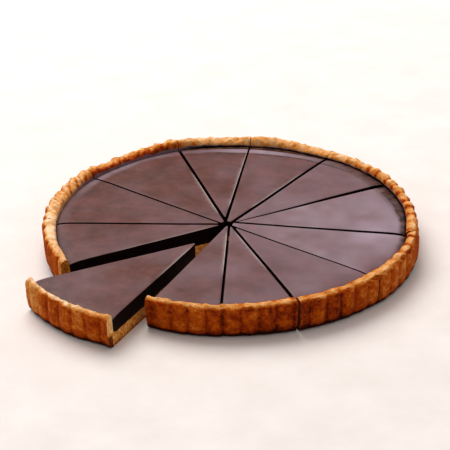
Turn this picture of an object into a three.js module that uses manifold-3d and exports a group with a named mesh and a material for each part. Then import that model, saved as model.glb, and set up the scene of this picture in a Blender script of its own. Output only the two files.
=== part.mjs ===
// A 28 cm chocolate tart: dark ganache set in a fluted shortcrust case, cut by hand into twelve slices,
// one of them drawn out by its rim with its point still between its neighbours.
// Millimetres, +Z up. The front is -Y, and the origin is the middle of the whole piece on the table.
import * as THREE from "three";
import { mergeVertices } from "three/addons/utils/BufferGeometryUtils.js";
import Module from "manifold-3d";

// The case. Radii are from the case's axis, at the crests of the flutes.
const RIM_RADIUS = 140.4;
const FOOT_RADIUS = 137.4;
const RIM_HEIGHT = 25.8;
const SHOULDER_HEIGHT = 22.9; // where the wall starts to round over into the rim
const WALL_CURVE = 1.6; // the wall is steeper towards its shoulder than at its foot
const FOOT_ROUND = 1.6;
const BASE_THICKNESS = 10.2;
const BASE_FILLET = 2.4;
const CAVITY_FOOT_RADIUS = 129.8;
const CAVITY_LIP_RADIUS = 130.7;

// The flutes that the tin presses into the wall
const FLUTES = 70;
const FLUTE_DEPTH = 2.2;
const STEPS_PER_FLUTE = 4;
const INNER_STEPS_PER_FLUTE = 2;
const INNER_SCALLOP = 0.35;

// How uneven the baked crust is
const LOBE_HEIGHT_SPREAD = 0.7;
const LOBE_SWELL_SPREAD = 0.3;
const VALLEY_DIP = 0.5; // the rim is this much lower over the valleys between the flutes
const CRAG = 0.22;

// The filling
const GANACHE_LEVEL = 22.4;
const EDGE_FALL = 1.2; // its set surface sinks this far towards the crust
const EDGE_WIDTH = 11;
const CLEARANCE = 0.3; // air left between the filling and the case

// The cuts, anticlockwise: direction in degrees from +X, how far the cut passes beside the hub (on its
// anticlockwise side), how far the knife has parted the filling at the hub and at the rim, and the
// narrower gap that it left in the crust. The hub is a little off the case's axis. The first two cuts
// bound the drawn-out slice.
const HUB = new THREE.Vector2(-3.3, -6.5);
const CUTS = [
  { direction: 207.7, aside: 0, atHub: 0.9, atRim: 0.9, crust: 0.9 },
  { direction: 244.9, aside: 0.9, atHub: 1, atRim: 1, crust: 1 },
  { direction: 267.1, aside: 2.1, atHub: 1.5, atRim: 2.3, crust: 0.6 },
  { direction: 290.7, aside: 2.35, atHub: 1.6, atRim: 2.9, crust: 1.5 },
  { direction: 321.2, aside: -0.5, atHub: 1.3, atRim: 1.1, crust: 0.6 },
  { direction: 349.5, aside: 3.2, atHub: 1.6, atRim: 3.6, crust: 0.8 },
  { direction: 387.5, aside: -0.9, atHub: 0.8, atRim: 4.4, crust: 0.8 },
  { direction: 415.2, aside: -2.1, atHub: 2.8, atRim: 2.2, crust: 0.8 },
  { direction: 441.3, aside: 1.3, atHub: 1.9, atRim: 0.9, crust: 0.8 },
  { direction: 466.3, aside: -0.4, atHub: 2, atRim: 2.3, crust: 0.8 },
  { direction: 500.8, aside: 1.9, atHub: 1.6, atRim: 1.8, crust: 0.7 },
  { direction: 537.5, aside: 0.8, atHub: 2.4, atRim: 2, crust: 0.7 },
];
const TIP_WIDTH = 0.8; // a slice's point crumbles off where it is narrower than this
const HUB_HOLE = 4; // and no point reaches nearer to the hub

// The crust of the second slice broke past its cut: beyond this distance from the hub, it is wider
const SPARE_CRUST = 3.2;
const SPARE_FROM = 122;

// How far each slice has slipped outwards from the hub, in the same order
const SLIPPED = [0, 0, -0.8, 0.1, 1, -0.5, -0.2, 0, 0.2, 0, 0.3, 0.5];

// How the hand-pressed case wanders round the tart: at each angle, how much higher its rim stands
// (lift), and how much wider its rim (swell), the lip inside the rim and its foot
const AROUND = [
  { angle: 8, lift: -0.5, swell: -1, lip: 0.5, foot: 0.8 },
  { angle: 32, lift: 1.2, swell: -0.8, lip: 0.6, foot: 0 },
  { angle: 45, lift: 0.2, swell: -0.5, lip: 0.4, foot: 0 },
  { angle: 58, lift: -0.3, swell: 0, lip: -1.5, foot: 0 },
  { angle: 77, lift: 2.5, swell: 0, lip: 0, foot: 0 },
  { angle: 91, lift: 0.9, swell: 0.3, lip: -0.7, foot: 0 },
  { angle: 109, lift: 3, swell: 0.4, lip: 0.4, foot: 0 },
  { angle: 121, lift: 1, swell: 0.4, lip: -1.5, foot: 0 },
  { angle: 134, lift: -0.7, swell: 0.3, lip: -2, foot: 0 },
  { angle: 144, lift: 1.7, swell: 0.2, lip: -1, foot: 0 },
  { angle: 161, lift: 0.6, swell: 0.8, lip: -1.5, foot: 0 },
  { angle: 185, lift: 0.4, swell: -0.6, lip: -0.9, foot: 0.4 },
  { angle: 201, lift: 0.4, swell: -0.5, lip: 0.5, foot: 0.6 },
  { angle: 215, lift: 0.3, swell: -1, lip: 3.4, foot: 0.6 },
  { angle: 229, lift: 0.2, swell: -1.3, lip: 1.9, foot: 0.2 },
  { angle: 241, lift: 0.2, swell: -2.2, lip: 0, foot: -2.6 },
  { angle: 254, lift: 0.1, swell: -0.7, lip: 0.9, foot: -0.6 },
  { angle: 273, lift: 0, swell: 0, lip: 0, foot: -0.6 },
  { angle: 293, lift: 0, swell: 0, lip: -1, foot: 0.2 },
  { angle: 306, lift: -0.1, swell: 0.1, lip: 0.2, foot: 0.8 },
  { angle: 325, lift: -0.2, swell: 0, lip: -0.6, foot: 1.4 },
  { angle: 341, lift: -0.2, swell: -0.5, lip: 0.9, foot: 1.4 },
  { angle: 354, lift: -0.3, swell: -0.9, lip: -0.2, foot: 1.1 },
];

// The drawn-out slice: its own two faces as they lay in the tart, the width of its broken point, where
// the point of its two faces is now, and its turn
const DRAWN_FACES = [
  { direction: 207.7, aside: 0, atHub: 0, atRim: 0, crust: 0 },
  { direction: 244.9, aside: 0, atHub: 0, atRim: 0, crust: 0 },
];
const DRAWN_TIP_WIDTH = 1.7;
const DRAWN_POINT = new THREE.Vector2(-25.2, -35.9);
const DRAWN_TURN = THREE.MathUtils.degToRad(-2.2);

const TAU = 2 * Math.PI;
const FRONT = -Math.PI / 2; // the angle at which a turned piece starts and ends

const wasm = await Module();
wasm.setup();

// A repeatable source of random numbers from 0 to 1.
function seeded(seed) {
  let state = seed;
  return () => {
    state = (state + 0x6d2b79f5) | 0;
    let mixed = Math.imul(state ^ (state >>> 15), 1 | state);
    mixed = (mixed + Math.imul(mixed ^ (mixed >>> 7), 61 | mixed)) ^ mixed;
    return ((mixed ^ (mixed >>> 14)) >>> 0) / 4294967296;
  };
}

// The shape of one flute at an angle: how far it bulges, from 0 in a valley to 1 on a crest, and the
// lobe it belongs to.
function flute(angle) {
  const turn = ((angle / TAU + 1) % 1) * FLUTES;
  const lobe = Math.floor(turn) % FLUTES;
  return { lobe, bulge: Math.abs(Math.sin(Math.PI * turn)) };
}

// The direction in which a slice points, halfway between its two cuts.
function bisector(index) {
  const from = CUTS[index].direction;
  const to = index + 1 < CUTS.length ? CUTS[index + 1].direction : CUTS[0].direction + 360;
  return (from + to) / 2;
}

// How the case wanders at an angle, passing smoothly from each place in the list to the next.
function around(angle) {
  const first = AROUND[0];
  const turn = THREE.MathUtils.radToDeg(angle) - first.angle;
  const degrees = first.angle + THREE.MathUtils.euclideanModulo(turn, 360);
  const past = AROUND.findIndex((place) => place.angle > degrees);
  const from = AROUND[(past > 0 ? past : AROUND.length) - 1];
  const to = past > 0 ? AROUND[past] : { ...first, angle: first.angle + 360 };
  const share = THREE.MathUtils.smoothstep(degrees, from.angle, to.angle);
  return {
    lift: THREE.MathUtils.lerp(from.lift, to.lift, share),
    swell: THREE.MathUtils.lerp(from.swell, to.swell, share),
    lip: THREE.MathUtils.lerp(from.lip, to.lip, share),
    foot: THREE.MathUtils.lerp(from.foot, to.foot, share),
  };
}

// A closed solid turned about Z. Each row of its profile has a radius and a height, from the axis at the
// bottom to the axis at the top, and move(row, angle, rowIndex, step) gives that row's place at an angle.
function turned(rows, steps, move) {
  const profile = rows.map((row) => new THREE.Vector2(row.radius, row.height));
  const geometry = new THREE.LatheGeometry(profile, steps).rotateX(Math.PI / 2);
  const position = geometry.getAttribute("position");
  for (let i = 0; i < position.count; i += 1) {
    const rowIndex = i % rows.length;
    const row = rows[rowIndex];
    if (row.radius === 0) continue;
    const step = Math.floor(i / rows.length) % steps;
    const angle = FRONT + (TAU * step) / steps;
    const { radius, height } = move(row, angle, rowIndex, step);
    position.setXYZ(i, radius * Math.cos(angle), radius * Math.sin(angle), height);
  }
  return geometry;
}

// The case's outside. Each row says how strongly the flutes show there (flute), how much of the rim's
// uneven height it takes (crown), and its shares of how the rim, the lip and the foot wander.
function caseOutside() {
  const wallRadius = (height) => {
    const below = (1 - height / SHOULDER_HEIGHT) ** WALL_CURVE;
    return THREE.MathUtils.lerp(RIM_RADIUS, FOOT_RADIUS, below);
  };
  const row = (radius, height, fluted, crown, swell, lip, foot) =>
    ({ radius, height, fluted, crown, swell, lip, foot });
  const rows = [
    row(0, 0, 0, 0, 0, 0, 0),
    row(FOOT_RADIUS - 1.8 * FOOT_ROUND, 0, 0.5, 0, 0, 0, 1),
    row(wallRadius(FOOT_ROUND), FOOT_ROUND, 0.7, 0, 0, 0, 1),
    row(wallRadius(5), 5, 0.85, 0, 0.1, 0, 0.9),
    row(wallRadius(12), 12, 1, 0, 0.4, 0, 0.5),
    row(RIM_RADIUS - 0.1, SHOULDER_HEIGHT - 2.6, 1, 0.5, 0.95, 0, 0.1),
    row(RIM_RADIUS - 0.2, SHOULDER_HEIGHT, 1, 0.9, 1, 0, 0),
    row(RIM_RADIUS - 1.9, RIM_HEIGHT - 0.8, 0.7, 1, 1, 0, 0),
    row(RIM_RADIUS - 4.4, RIM_HEIGHT, 0.4, 1, 0.8, 0.2, 0),
    row(CAVITY_LIP_RADIUS + 2.6, RIM_HEIGHT - 0.4, 0.15, 0.9, 0.4, 0.6, 0),
    row(CAVITY_LIP_RADIUS + 1, RIM_HEIGHT - 1.3, 0, 0.6, 0.1, 0.9, 0),
    row(CAVITY_LIP_RADIUS + 0.1, RIM_HEIGHT - 2.2, 0, 0.3, 0, 1, 0),
    row(CAVITY_LIP_RADIUS - 4, RIM_HEIGHT - 2.6, 0, 0, 0, 1, 0),
    row(0, RIM_HEIGHT - 2.6, 0, 0, 0, 0, 0),
  ];
  const random = seeded(28);
  const lobes = Array.from({ length: FLUTES }, () => ({
    height: LOBE_HEIGHT_SPREAD * (2 * random() - 1),
    swell: LOBE_SWELL_SPREAD * (2 * random() - 1),
  }));
  const steps = FLUTES * STEPS_PER_FLUTE;
  const crags = Array.from({ length: rows.length * steps }, () => CRAG * (2 * random() - 1));
  return turned(rows, steps, (place, angle, rowIndex, step) => {
    const { lobe, bulge } = flute(angle);
    const wander = around(angle);
    const pressed = FLUTE_DEPTH * (1 - bulge) - lobes[lobe].swell * bulge;
    const crag = place.height > 0 ? crags[rowIndex * steps + step] : 0;
    const lift = lobes[lobe].height * bulge - VALLEY_DIP * (1 - bulge) + wander.lift;
    const shift = place.swell * wander.swell + place.lip * wander.lip + place.foot * wander.foot;
    return {
      radius: place.radius - place.fluted * pressed + shift + crag,
      height: place.height + place.crown * (lift + crag),
    };
  });
}

// The rows of the case's inside, from the axis over the base and up the wall, each moved inwards by a
// clearance: none for the case's own hollow, and a thin one for the filling. Each says its share of how
// the lip wanders.
function insideRows(clearance) {
  const inner = (height) => {
    const span = RIM_HEIGHT - BASE_THICKNESS - BASE_FILLET;
    const share = (height - BASE_THICKNESS - BASE_FILLET) / span;
    return THREE.MathUtils.lerp(CAVITY_FOOT_RADIUS, CAVITY_LIP_RADIUS, share) - clearance;
  };
  const corner = CAVITY_FOOT_RADIUS - clearance;
  const floor = BASE_THICKNESS + clearance;
  const top = GANACHE_LEVEL - EDGE_FALL;
  return [
    { radius: 0, height: floor, lip: 0 },
    { radius: corner - BASE_FILLET, height: floor, lip: 0.4 },
    { radius: corner - 0.3 * BASE_FILLET, height: floor + 0.3 * BASE_FILLET, lip: 0.6 },
    { radius: inner(BASE_THICKNESS + BASE_FILLET), height: BASE_THICKNESS + BASE_FILLET, lip: 0.8 },
    { radius: inner(top), height: top, lip: 1 },
  ];
}

// Moves a row of the inside: it is faintly scalloped by the flutes, and it wanders with the lip.
function moveInside(row, angle) {
  const scallop = INNER_SCALLOP * (flute(angle).bulge - 0.5);
  return { radius: row.radius + scallop + row.lip * around(angle).lip, height: row.height };
}

// The hollow that is taken out of the case.
function caseHollow() {
  const rows = insideRows(0);
  rows.push({ radius: CAVITY_LIP_RADIUS, height: RIM_HEIGHT, lip: 1 });
  rows.push({ radius: CAVITY_LIP_RADIUS + 0.8, height: RIM_HEIGHT + 6, lip: 1 });
  rows.push({ radius: 0, height: RIM_HEIGHT + 6, lip: 0 });
  return turned(rows, FLUTES * INNER_STEPS_PER_FLUTE, moveInside);
}

// The whole filling: it fills the case to its level, and sinks a little towards the crust.
function filling() {
  const rows = insideRows(CLEARANCE);
  const edge = rows[rows.length - 1].radius;
  const sunk = (share) => GANACHE_LEVEL - share * EDGE_FALL;
  rows.push({ radius: edge - 0.3 * EDGE_WIDTH, height: sunk(0.4), lip: 1 });
  rows.push({ radius: edge - 0.65 * EDGE_WIDTH, height: sunk(0.1), lip: 1 });
  rows.push({ radius: edge - EDGE_WIDTH, height: GANACHE_LEVEL, lip: 1 });
  rows.push({ radius: 0, height: GANACHE_LEVEL, lip: 0 });
  return turned(rows, FLUTES * INNER_STEPS_PER_FLUTE, moveInside);
}

// How far a face of a cut lies beside the hub. side is 1 for the cut's anticlockwise face.
function faceOffset(cut, distance, side) {
  return cut.aside + (side * THREE.MathUtils.lerp(cut.atHub, cut.atRim, distance / RIM_RADIUS)) / 2;
}

// The point on one face of a cut, a distance from the hub.
function facePoint(cut, distance, side) {
  const angle = THREE.MathUtils.degToRad(cut.direction);
  const across = faceOffset(cut, distance, side);
  return new THREE.Vector2(
    HUB.x + distance * Math.cos(angle) - across * Math.sin(angle),
    HUB.y + distance * Math.sin(angle) + across * Math.cos(angle),
  );
}

// The upright wedge between two cuts, from a slice's blunt point to beyond the rim. Its outer end can
// have some spare width past its first cut.
function wedge(from, to, tip, spare) {
  const beyond = 1.4 * RIM_RADIUS;
  const wider = { ...from, aside: from.aside - spare };
  const corners = [
    facePoint(from, tip, 1),
    facePoint(wider, beyond, 1),
    facePoint(to, beyond, -1),
    facePoint(to, tip, -1),
  ];
  if (spare > 0) corners.splice(1, 0, facePoint(from, SPARE_FROM, 1), facePoint(wider, SPARE_FROM, 1));
  const shape = new THREE.Shape(corners);
  const height = 2 * RIM_HEIGHT;
  return new THREE.ExtrudeGeometry(shape, { depth: height, bevelEnabled: false })
    .translate(0, 0, -height / 4);
}

// How far from the hub a slice's faces are a width apart.
function reach(from, to, width) {
  const half = THREE.MathUtils.degToRad(to.direction - from.direction) / 2;
  return (width + faceOffset(from, 0, 1) - faceOffset(to, 0, -1)) / (2 * Math.tan(half));
}

// A closed geometry as a solid that can be cut, and back.
function toSolid(geometry) {
  const bare = geometry.clone();
  bare.deleteAttribute("normal");
  bare.deleteAttribute("uv");
  const merged = mergeVertices(bare, 1e-4);
  return new wasm.Manifold(
    new wasm.Mesh({
      numProp: 3,
      vertProperties: merged.getAttribute("position").array,
      triVerts: new Uint32Array(merged.index.array),
    }),
  );
}

function toGeometry(solid) {
  const { vertProperties, triVerts } = solid.getMesh();
  const geometry = new THREE.BufferGeometry();
  geometry.setAttribute("position", new THREE.BufferAttribute(vertProperties, 3));
  geometry.setIndex(new THREE.BufferAttribute(triVerts, 1));
  geometry.computeVertexNormals();
  return geometry;
}

const crustMaterial = new THREE.MeshStandardMaterial({ color: 0xc98445, roughness: 0.85, metalness: 0 });
const ganacheMaterial = new THREE.MeshStandardMaterial({ color: 0x5c403d, roughness: 0.35, metalness: 0 });

const wholeCase = toSolid(caseOutside()).subtract(toSolid(caseHollow()));
const wholeFilling = toSolid(filling());

// One slice: its piece of the case and its piece of the filling.
function slice(number, from, to, tip, spare) {
  const narrow = (cut) => ({ ...cut, atHub: cut.crust, atRim: cut.crust });
  const crustCutter = toSolid(wedge(narrow(from), narrow(to), tip, spare));
  const ganacheCutter = toSolid(wedge(from, to, tip, 0));
  const label = String(number).padStart(2, "0");
  const group = new THREE.Group();
  const crust = new THREE.Mesh(toGeometry(wholeCase.intersect(crustCutter)), crustMaterial);
  crust.name = `crust_${label}`;
  const ganache = new THREE.Mesh(toGeometry(wholeFilling.intersect(ganacheCutter)), ganacheMaterial);
  ganache.name = `ganache_${label}`;
  group.add(crust, ganache);
  return group;
}

const whole = new THREE.Group();

// The drawn-out slice turns about its point, which lay at the hub.
const drawn = new THREE.Group();
const drawnTip = reach(DRAWN_FACES[0], DRAWN_FACES[1], DRAWN_TIP_WIDTH);
const drawnSlice = slice(1, DRAWN_FACES[0], DRAWN_FACES[1], drawnTip, 0);
drawnSlice.position.set(-HUB.x, -HUB.y, 0);
drawn.add(drawnSlice);
drawn.position.set(DRAWN_POINT.x, DRAWN_POINT.y, 0);
drawn.rotation.z = DRAWN_TURN;
whole.add(drawn);

for (let i = 1; i < CUTS.length; i += 1) {
  const from = CUTS[i];
  const next = CUTS[(i + 1) % CUTS.length];
  const to = i + 1 < CUTS.length ? next : { ...next, direction: next.direction + 360 };
  const tip = Math.max(reach(from, to, TIP_WIDTH), HUB_HOLE);
  const group = slice(i + 1, from, to, tip, i === 1 ? SPARE_CRUST : 0);
  const direction = THREE.MathUtils.degToRad(bisector(i));
  group.position.set(SLIPPED[i] * Math.cos(direction), SLIPPED[i] * Math.sin(direction), 0);
  whole.add(group);
}

// The tart, moved so that the origin is the middle of its extent, on the table.
const extent = new THREE.Box3().setFromObject(whole, true);
const middle = extent.getCenter(new THREE.Vector3());
whole.position.set(-middle.x, -middle.y, -extent.min.z);
const tart = new THREE.Group();
tart.add(whole);

export default tart;
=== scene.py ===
import math

import bmesh
import bpy
import numpy as np
from mathutils import Matrix, Vector
from mathutils.geometry import delaunay_2d_cdt


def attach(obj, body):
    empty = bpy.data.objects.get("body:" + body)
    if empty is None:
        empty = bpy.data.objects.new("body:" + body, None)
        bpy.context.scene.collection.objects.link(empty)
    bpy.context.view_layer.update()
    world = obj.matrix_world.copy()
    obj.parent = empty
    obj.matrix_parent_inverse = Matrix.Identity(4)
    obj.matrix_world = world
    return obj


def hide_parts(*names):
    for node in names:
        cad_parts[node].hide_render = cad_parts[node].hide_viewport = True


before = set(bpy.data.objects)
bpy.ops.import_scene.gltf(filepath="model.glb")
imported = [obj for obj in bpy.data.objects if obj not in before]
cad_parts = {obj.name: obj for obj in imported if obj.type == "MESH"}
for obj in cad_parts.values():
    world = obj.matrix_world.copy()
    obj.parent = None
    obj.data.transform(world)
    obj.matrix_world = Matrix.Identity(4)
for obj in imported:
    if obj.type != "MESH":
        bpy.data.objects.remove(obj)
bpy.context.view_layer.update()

# ------------------------------
# The camera: a long lens on a tripod, a little above the table's edge and not quite level.
# It looks down on the tart from its front at a low angle.
MM = 0.001  # a millimetre in the scene's metres
AXIS = Vector((2.983, 5.615, 0)) * MM  # the pastry case's own axis, where it meets the table
LENS = 160.2
CAMERA_DISTANCE = 1500 * MM
CAMERA_ELEVATION = math.radians(27.893)
CAMERA_AIM = AXIS + Vector((-4.67, 34.41, 0)) * MM
CAMERA_ROLL = math.radians(-0.838)

toward_front = Vector((0, -math.cos(CAMERA_ELEVATION), math.sin(CAMERA_ELEVATION)))
camera = bpy.data.objects.new("camera", bpy.data.cameras.new("camera"))
camera.data.lens = LENS
camera.location = AXIS + CAMERA_DISTANCE * toward_front
looking = (CAMERA_AIM - camera.location).to_track_quat("-Z", "Y")
camera.rotation_euler = (looking.to_matrix() @ Matrix.Rotation(CAMERA_ROLL, 3, "Z")).to_euler()
bpy.context.scene.collection.objects.link(camera)
bpy.context.scene.camera = camera


# ------------------------------
# The slices: the baked tart was cut by hand with a long knife, twelve times from its rim to its
# hub, and each slice is a wedge between two cuts. One has been drawn out by its rim, turning a
# little, and the rest have slipped in and out by a millimetre. Lengths here are millimetres.
HUB = np.array((-3.3, -6.5))  # where the cuts meet, beside the case's axis
RIM_RADIUS = 140.4
PAST_RIM = 1.4 * RIM_RADIUS  # the far end of each cut face
# Each cut: its direction in degrees, how far it passes beside the hub, how far the knife parted the
# filling at the hub and at the rim, and the narrower gap that it left in the crust. Anticlockwise,
# counted on past 360, and the first two bound the drawn-out slice.
CUTS = [
    (207.7, 0, 0.9, 0.9, 0.9), (244.9, 0.9, 1.0, 1.0, 1.0), (267.1, 2.1, 2.1, 2.3, 0.3),
    (290.7, 2.35, 2.2, 2.9, 1.9), (321.2, -0.5, 1.3, 1.1, -0.25), (349.5, 3.2, 2.1, 3.6, 0.5),
    (387.5, -0.9, 0.8, 5.4, 0.5), (415.2, -2.1, 2.9, 2.6, 0.6), (441.3, 1.3, 2.3, 1.4, 0.6),
    (466.3, -0.4, 2.6, 2.4, 0.6), (500.8, 1.9, 1.6, 1.8, 0.5), (537.5, 0.8, 2.4, 2.0, 0.5),
]
LAST_CUT = (CUTS[0][0] + 360, *CUTS[0][1:])
DRAWN_CUTS = [(cut[0], 0.0, 0.0, 0.0, 0.0) for cut in CUTS[:2]]  # straight to the slice's own point
DRAWN_POINT = np.array((-25.2, -35.9))
DRAWN_TURN = math.radians(-2.2)
DRAWN_TIP_WIDTH = 1.7
TIP_WIDTH = 0.8  # how blunt the other slices' tips are
HUB_HOLE = 4.0  # and how far, at least, they end from the hub
SLIPPED = (0, 0, -0.8, 0.1, 1.0, -0.5, -0.2, 0, 0.2, 0, 0.3, 0.5)  # outwards
DRAWN, BEFORE_GAP, BEHIND_GAP = 1, 2, 12  # the numbers of the slices whose cut sides lie open


def face_offset(cut, distance, side):
    """How far one face of a cut lies beside the hub; side is 1 for its anticlockwise face."""
    _, aside, at_hub, at_rim = cut[:4]
    return aside + side * (at_hub + (at_rim - at_hub) * distance / RIM_RADIUS) / 2


def face_point(cut, distance, side):
    """The point of a cut's face at a distance from the hub."""
    angle = math.radians(cut[0])
    along = np.array((math.cos(angle), math.sin(angle)))
    across = np.array((-along[1], along[0]))
    return HUB + distance * along + face_offset(cut, distance, side) * across


class CutFace:
    """One upright cut face of a slice: a straight line from its tip to beyond the rim."""

    def __init__(self, cut, side, tip):
        self.start = face_point(cut, tip, side)
        line = face_point(cut, PAST_RIM, side) - self.start
        self.along = line / np.linalg.norm(line)
        self.outward = -side * np.array((-self.along[1], self.along[0]))
        self.direction = math.atan2(self.along[1], self.along[0])
        self.beside = np.dot((-self.along[1], self.along[0]), self.start)

    def angle_at(self, radius):
        """The angle round the case's axis at which the face crosses a radius."""
        return self.direction + np.arcsin(self.beside / radius)

    def depth_of(self, points):
        """How far points lie inside the face."""
        return -(points[:, :2] - self.start) @ self.outward


class Slice:
    """A slice's two cut faces, and how its points go from where it was baked to where it lies."""

    def __init__(self, index):
        first, second = (CUTS + [LAST_CUT])[index : index + 2]
        width = TIP_WIDTH
        if index + 1 == DRAWN:
            first, second = DRAWN_CUTS
            width = DRAWN_TIP_WIDTH
        half = math.radians(second[0] - first[0]) / 2
        tip = (width + face_offset(first, 0, 1) - face_offset(second, 0, -1)) / (2 * math.tan(half))
        if index + 1 != DRAWN:
            tip = max(tip, HUB_HOLE)
        self.number = index + 1
        self.slipped = SLIPPED[index]
        self.middle = math.radians(first[0] + second[0]) / 2
        self.faces = (CutFace(first, 1, tip), CutFace(second, -1, tip))
        first, second = ((*cut[:2], cut[4], cut[4]) for cut in (first, second))
        self.crust_faces = (CutFace(first, 1, tip), CutFace(second, -1, tip))

    def placed(self, points):
        """Points of the tart as it was baked, in mm, moved to where the slice lies, in metres."""
        moved = np.array(points, dtype=float)
        if self.number == DRAWN:
            cosine, sine = math.cos(DRAWN_TURN), math.sin(DRAWN_TURN)
            from_hub = moved[:, :2] - HUB
            moved[:, 0] = from_hub[:, 0] * cosine - from_hub[:, 1] * sine + DRAWN_POINT[0]
            moved[:, 1] = from_hub[:, 0] * sine + from_hub[:, 1] * cosine + DRAWN_POINT[1]
        else:
            moved[:, 0] += self.slipped * math.cos(self.middle)
            moved[:, 1] += self.slipped * math.sin(self.middle)
        return moved * MM + np.array(AXIS)


slices = [Slice(index) for index in range(len(CUTS))]


# ------------------------------
# The pastry case: sweet shortcrust, rolled, pressed into a fluted tin and baked blind, so that it
# is rough and golden on its rim, smooth and brown where the hot tin touched it, and a pale,
# crumbly yellow where the knife has opened it.
FLUTES = 70
FLUTE_DEPTH = 2.2
VALLEY_SOFTNESS = 0.1
LOBE_HEIGHT_SPREAD = 0.6
LOBE_SWELL_SPREAD = 0.35
VALLEY_DIP = 0.35  # how much lower the rim is between two lobes
BASE_THICKNESS = 10.2
# How the hand-pressed case wanders round the tart: at each angle, how much higher its rim stands,
# and how much wider its rim, the lip inside it and its foot are
AROUND = (
    (8, -0.5, -1.0, 0.5, 0.8), (32, 1.2, -0.8, 0.6, 0), (45, 0.2, -0.5, 0.4, 0),
    (58, -0.3, 0, -1.5, 0), (77, 2.5, 0, 0, 0), (91, 0.9, 0.3, -0.7, 0),
    (109, 3.0, 0.4, 0.4, 0), (121, 1.0, 0.4, -1.5, 0), (134, -0.7, 0.3, -2.0, 0),
    (144, 1.7, 0.2, -1.0, 0), (161, 0.6, 0.8, -1.5, 0), (185, 0.4, -0.6, -0.9, 0.4),
    (201, 0.4, -0.5, 0.5, 0.6), (215, 0.3, -1.0, 3.4, 0.6), (229, 0.2, -1.3, 1.9, 0.2),
    (241, 0.2, -2.2, 0, -2.6), (254, 0.1, -0.7, 0.9, -0.6), (273, 0, 0, 0, -0.6),
    (293, 0, 0, -1.0, 0.2), (306, -0.1, 0.1, 0.2, 0.8), (325, -0.2, 0, -0.6, 1.4),
    (341, -0.2, -0.5, 0.9, 1.4), (354, -0.3, -0.9, -0.2, 1.1),
)
CASE_STEP = 0.75  # the mesh's spacing over the wall and the rim
FACE_STEP = 0.85  # and over a cut face
# The case's section, from the floor under the filling, up the inside, over the rim and down the
# wall: radius, height, how strongly the flutes show, and its share of the rim's rise, of the rim's
# own width, of the lip's and of the foot's
CASE_SECTION = np.array((
    (126.0, 10.2, 0, 0, 0, 0.4, 0), (128.8, 10.6, 0, 0, 0, 0.6, 0),
    (130.0, 13.0, 0.03, 0, 0, 0.8, 0), (130.5, 22.0, 0.06, 0, 0, 1.0, 0),
    (130.9, 23.7, 0.1, 0.3, 0, 1.0, 0), (132.0, 24.9, 0.12, 0.7, 0.2, 0.8, 0),
    (133.8, 25.6, 0.15, 1.0, 0.5, 0.5, 0), (136.0, 25.8, 0.25, 1.0, 0.8, 0.2, 0),
    (138.2, 25.3, 0.45, 1.0, 1.0, 0, 0), (139.7, 24.2, 0.75, 1.0, 1.0, 0, 0),
    (140.4, 22.2, 1.0, 0.8, 1.0, 0, 0), (140.2, 19.0, 1.0, 0.4, 0.9, 0, 0.1),
    (139.3, 11.0, 0.9, 0, 0.4, 0, 0.5), (138.0, 4.8, 0.5, 0, 0.1, 0, 0.9),
    (136.8, 1.6, 0.25, 0, 0, 0, 1.0), (135.1, 0.2, 0.12, 0, 0, 0, 1.0),
    (133.2, 0, 0.12, 0, 0, 0, 1.0),
))
# A span is a start and a reach: here how strongly a flute shows before it begins to be sharp, and
# over how much more it gets so, and then the height over which the rim's roughness comes in
SHARP_SPAN = (0.3, 0.5)
ROUGH_SPAN = (21.5, 3)
# The skin's lumps: how far they reach, their size, and the seed
SKIN_LUMPS = ((0.45, 5.5, 1), (0.62, 2.6, 2), (0.42, 1.3, 3))
LUMPS_OUTWARD = 0.8  # their share outwards
LUMPS_UPWARD = 0.15  # and upwards on the wall; on the rim they rise in full
WALL_ROUGHNESS = 0.22  # of the rim's, where the tin has pressed the wall smooth
FOOT_BLEND = 3  # over this height the skin flattens towards the table
FILLED_RADIUS = 132.0  # inside and below these the filling covers the wall, which is smooth there
FILLED_HEIGHT = 22.0


def noise(points, size, seed):
    """Smooth random vectors from -1 to 1 over a lattice of cells of a size, the same each run."""
    cells = 32
    lattice = np.random.default_rng(seed).uniform(-1, 1, (cells, cells, cells, 3))
    place = np.asarray(points) / size
    low = np.floor(place).astype(int)
    share = place - low
    share = share * share * (3 - 2 * share)
    total = np.zeros(place.shape)
    for corner in np.ndindex(2, 2, 2):
        index = (low + corner) % cells
        weight = np.prod(np.where(corner, share, 1 - share), axis=-1)
        total += lattice[index[..., 0], index[..., 1], index[..., 2]] * weight[..., None]
    return total


def rising(value, start, reach):
    """How far a value has come over a reach from its start, from 0 to 1."""
    return np.clip((value - start) / reach, 0, 1)


def by_angle(table, angle, column=1):
    """What a table, with degrees in its first column, gives for an angle."""
    degrees = [row[0] for row in table]
    return np.interp(np.degrees(angle) % 360, degrees, [row[column] for row in table])


def smooth_section(section, step):
    """Cuts a section's corners twice, a quarter of the way along its sides, and spaces it evenly."""
    quarter = 0.25
    for _ in range(2):
        cut = np.empty((2 * len(section), section.shape[1]))
        cut[0] = section[0]
        cut[-1] = section[-1]
        cut[1:-1:2] = (1 - quarter) * section[:-1] + quarter * section[1:]
        cut[2:-1:2] = quarter * section[:-1] + (1 - quarter) * section[1:]
        section = cut
    sides = np.linalg.norm(np.diff(section[:, :2], axis=0), axis=1)
    length = np.concatenate(((0,), np.cumsum(sides)))
    even = np.linspace(0, length[-1], int(length[-1] / step) + 1)
    return np.stack([np.interp(even, length, column) for column in section.T], axis=-1)


lobe_random = np.random.default_rng(70)
lobe_heights = LOBE_HEIGHT_SPREAD * lobe_random.uniform(-1, 1, FLUTES)
lobe_swells = LOBE_SWELL_SPREAD * lobe_random.uniform(-1, 1, FLUTES)


def in_flutes(angle):
    """An angle round the case, counted in flutes."""
    return (angle / (2 * math.pi)) % 1 * FLUTES


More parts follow.
